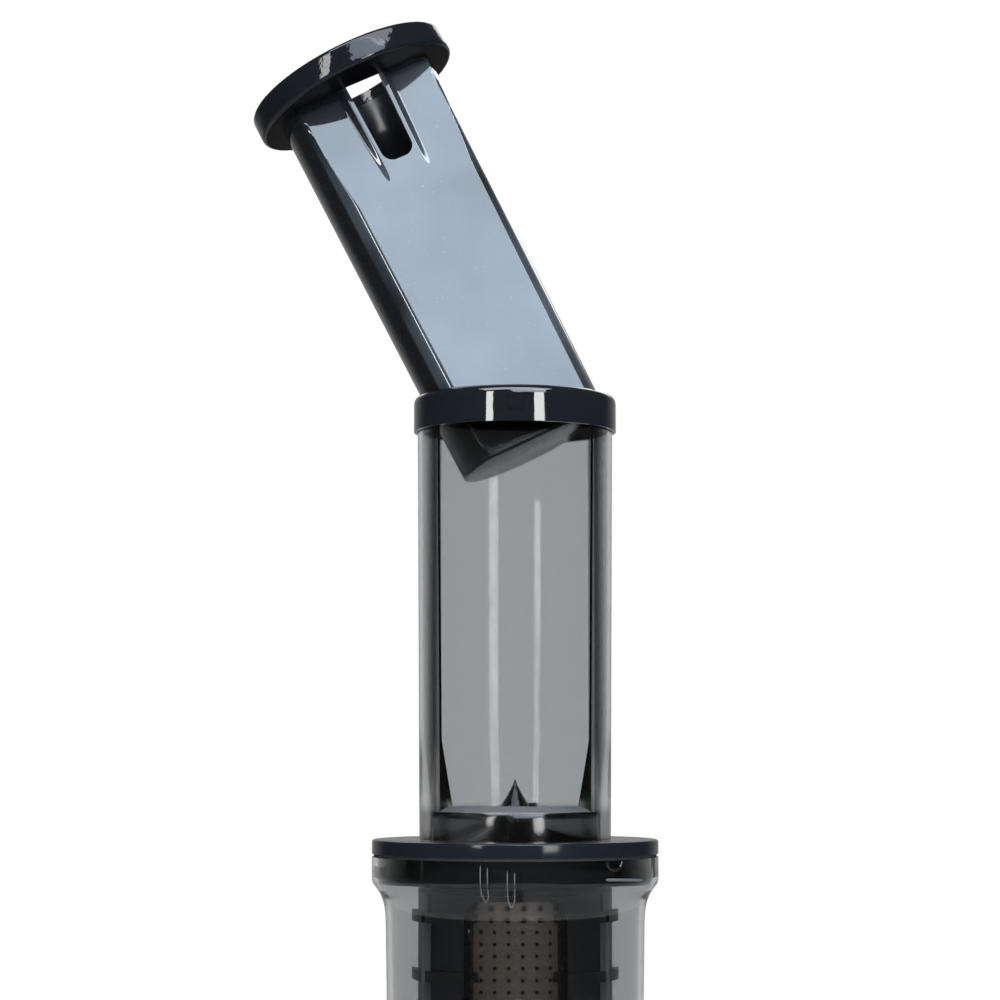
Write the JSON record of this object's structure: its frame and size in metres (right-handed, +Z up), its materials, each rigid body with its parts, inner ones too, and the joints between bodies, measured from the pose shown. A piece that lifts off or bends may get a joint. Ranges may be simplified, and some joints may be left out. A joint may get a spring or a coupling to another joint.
{
  "type": "cold press juicer",
  "caption": "Upright cold press juicer: geared motor base, smoky bowl with brush, strainer and auger, twist-lock lid with D-shaped feed chute, and a hollow pusher leaning in its mouth.",
  "frame": {"origin": "on the bowl's axis, at the table under the base's rubber feet", "axes": "+Z up along the bowl's axis; -Y towards the viewer, the side of the chute's flat window and the juice spout; +X to the viewer's right, the side of the knob"},
  "size_m": [0.2125, 0.1955, 0.6645],
  "materials": {
    "base_black": "gloss",
    "dark_plastic": "satin",
    "black_gloss": "high gloss",
    "smoke_clear": "clear smoke tint",
    "rubber_black": "matte",
    "silicone_grey": "satin",
    "steel": "satin",
    "steel_bright": "polished",
    "can_steel": "satin",
    "copper_core": "lacquered",
    "brass": "machined",
    "die_cast": "cast",
    "nylon": "satin",
    "board": "satin",
    "knob_silver": "spun"
  },
  "bodies": {
    "base": {"base_housing": "base_black", "top_deck": "base_black", "base_plate": "dark_plastic", "rubber_feet": "rubber_black", "base_screws": "steel", "deck_screws": "steel", "vent_grille": "dark_plastic", "power_inlet": "dark_plastic", "rotary_switch": "dark_plastic", "circuit_board": "board", "motor_can": "can_steel", "stator_core": "copper_core", "motor_bearings": "steel_bright", "motor_screws": "steel", "gearbox_case": "die_cast", "gearbox_cover": "die_cast", "gearbox_screws": "steel", "gear_pin": "steel", "shaft_bearing": "steel_bright", "deck_seal": "rubber_black"},
    "rotor": {"rotor_core": "steel", "rotor_pinion": "brass", "cooling_fan": "dark_plastic"},
    "reduction": {"reduction_gear": "nylon"},
    "drive": {"output_gear": "nylon", "drive_shaft": "steel"},
    "knob": {"control_knob": "knob_silver"},
    "bowl_set": {"bowl": "smoke_clear", "juice_spout": "smoke_clear", "pulp_duct": "smoke_clear", "bowl_seal": "silicone_grey", "cap_pin": "steel", "flap_pin": "steel", "strainer_frame": "dark_plastic", "strainer_mesh": "steel", "idler_pin": "steel", "auger_washer": "silicone_grey"},
    "juice_lever": {"juice_cap": "black_gloss", "cap_gasket": "silicone_grey"},
    "pulp_door": {"pulp_flap": "black_gloss"},
    "brush": {"brush_frame": "dark_plastic", "brush_blades": "silicone_grey"},
    "idler": {"idler_gear": "nylon"},
    "screw": {"auger": "black_gloss"},
    "lid_set": {"lid": "black_gloss", "lid_seal": "rubber_black", "chute": "smoke_clear", "collar": "black_gloss", "collar_plug": "dark_plastic"},
    "pusher": {"pusher_body": "black_gloss", "pusher_cap": "black_gloss"}
  },
  "joints": [
    {"name": "rotor_spin", "type": "hinge", "parent": "base", "child": "rotor", "pos_m": [0, 0, 0.06], "axis": [0, 0, 1], "continuous": true},
    {"name": "reduction_spin", "type": "hinge", "parent": "base", "child": "reduction", "pos_m": [-0.0325, 0, 0.102], "axis": [0, 0, 1], "continuous": true},
    {"name": "drive_spin", "type": "hinge", "parent": "base", "child": "drive", "pos_m": [0, 0, 0.113], "axis": [0, 0, 1], "continuous": true},
    {"name": "knob_turn", "type": "hinge", "parent": "base", "child": "knob", "pos_m": [0.0741, 0, 0.07], "axis": [1, 0, 0], "range_deg": [-45, 45]},
    {"name": "bowl_lift", "type": "slide", "parent": "base", "child": "bowl_set", "axis": [0, 0, 1], "range_m": [0, 0.08]},
    {"name": "juice_lever_swing", "type": "hinge", "parent": "bowl_set", "child": "juice_lever", "pos_m": [0, -0.0955, 0.2085], "axis": [-1, 0, 0], "range_deg": [0, 80]},
    {"name": "pulp_door_swing", "type": "hinge", "parent": "bowl_set", "child": "pulp_door", "pos_m": [-0.1006, 0, 0.1834], "axis": [0, 1, 0], "range_deg": [0, 60]},
    {"name": "brush_spin", "type": "hinge", "parent": "bowl_set", "child": "brush", "pos_m": [0, 0, 0.2], "axis": [0, 0, 1], "continuous": true},
    {"name": "idler_spin", "type": "hinge", "parent": "bowl_set", "child": "idler", "pos_m": [0.027, 0, 0.188], "axis": [0, 0, 1], "continuous": true},
    {"name": "auger_spin", "type": "hinge", "parent": "bowl_set", "child": "screw", "pos_m": [0, 0, 0.2], "axis": [0, 0, 1], "continuous": true},
    {"name": "lid_twist", "type": "hinge", "parent": "bowl_set", "child": "lid_set", "pos_m": [0, 0, 0.29], "axis": [0, 0, 1], "range_deg": [0, 30]},
    {"name": "pusher_pull", "type": "slide", "parent": "lid_set", "child": "pusher", "axis": [-0.4471, 0.0523, 0.8929], "range_m": [0, 0.09]}
  ],
  "couplings": [
    {"joint": "rotor_spin", "follows": "drive_spin", "ratio": 16},
    {"joint": "reduction_spin", "follows": "drive_spin", "ratio": -4},
    {"joint": "auger_spin", "follows": "drive_spin", "ratio": 1},
    {"joint": "idler_spin", "follows": "drive_spin", "ratio": -1.0769},
    {"joint": "brush_spin", "follows": "drive_spin", "ratio": -0.35}
  ]
}
